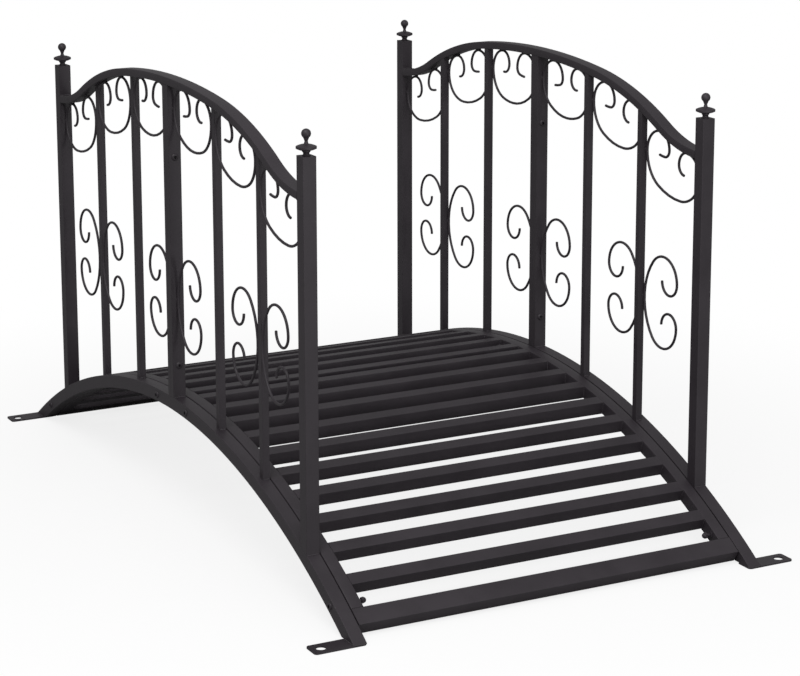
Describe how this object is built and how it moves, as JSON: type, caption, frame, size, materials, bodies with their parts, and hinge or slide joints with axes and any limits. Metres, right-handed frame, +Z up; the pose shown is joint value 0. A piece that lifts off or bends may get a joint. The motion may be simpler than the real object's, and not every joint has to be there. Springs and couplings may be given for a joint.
{
  "type": "moon bridge",
  "caption": "Arched garden bridge of black powder-coated steel tube, with a slatted deck, crowned railings, wire scrolls, ball finials and anchor tabs.",
  "frame": {"origin": "on the floor under the middle of the deck", "axes": "+X along the walk towards the front end, +Y across to the right railing, +Z up"},
  "size_m": [1.534, 0.954, 0.8415],
  "materials": {
    "coat": "satin black powder coat"
  },
  "bodies": {
    "root": {"base_arch_left_front": "coat", "base_arch_left_back": "coat", "base_arch_right_front": "coat", "base_arch_right_back": "coat", "foot_tab_left_front": "coat", "foot_tab_left_back": "coat", "foot_tab_right_front": "coat", "foot_tab_right_back": "coat", "end_post_left_front": "coat", "end_post_left_back": "coat", "end_post_right_front": "coat", "end_post_right_back": "coat", "finial_left_front": "coat", "finial_left_back": "coat", "finial_right_front": "coat", "finial_right_back": "coat", "mid_post_left_front": "coat", "mid_post_left_back": "coat", "mid_post_right_front": "coat", "mid_post_right_back": "coat", "top_rail_left_front": "coat", "top_rail_left_back": "coat", "top_rail_right_front": "coat", "top_rail_right_back": "coat", "balusters_left_front": "coat", "balusters_left_back": "coat", "balusters_right_front": "coat", "balusters_right_back": "coat", "lyre_scrolls_left_front": "coat", "lyre_scrolls_left_back": "coat", "lyre_scrolls_right_front": "coat", "lyre_scrolls_right_back": "coat", "c_scrolls_left_front": "coat", "c_scrolls_left_back": "coat", "c_scrolls_right_front": "coat", "c_scrolls_right_back": "coat", "deck_rail_left_front": "coat", "deck_rail_left_back": "coat", "deck_rail_right_front": "coat", "deck_rail_right_back": "coat", "deck_slats_front": "coat", "deck_slats_back": "coat", "deck_end_slat_front": "coat", "deck_end_slat_back": "coat"}
  },
  "joints": []
}
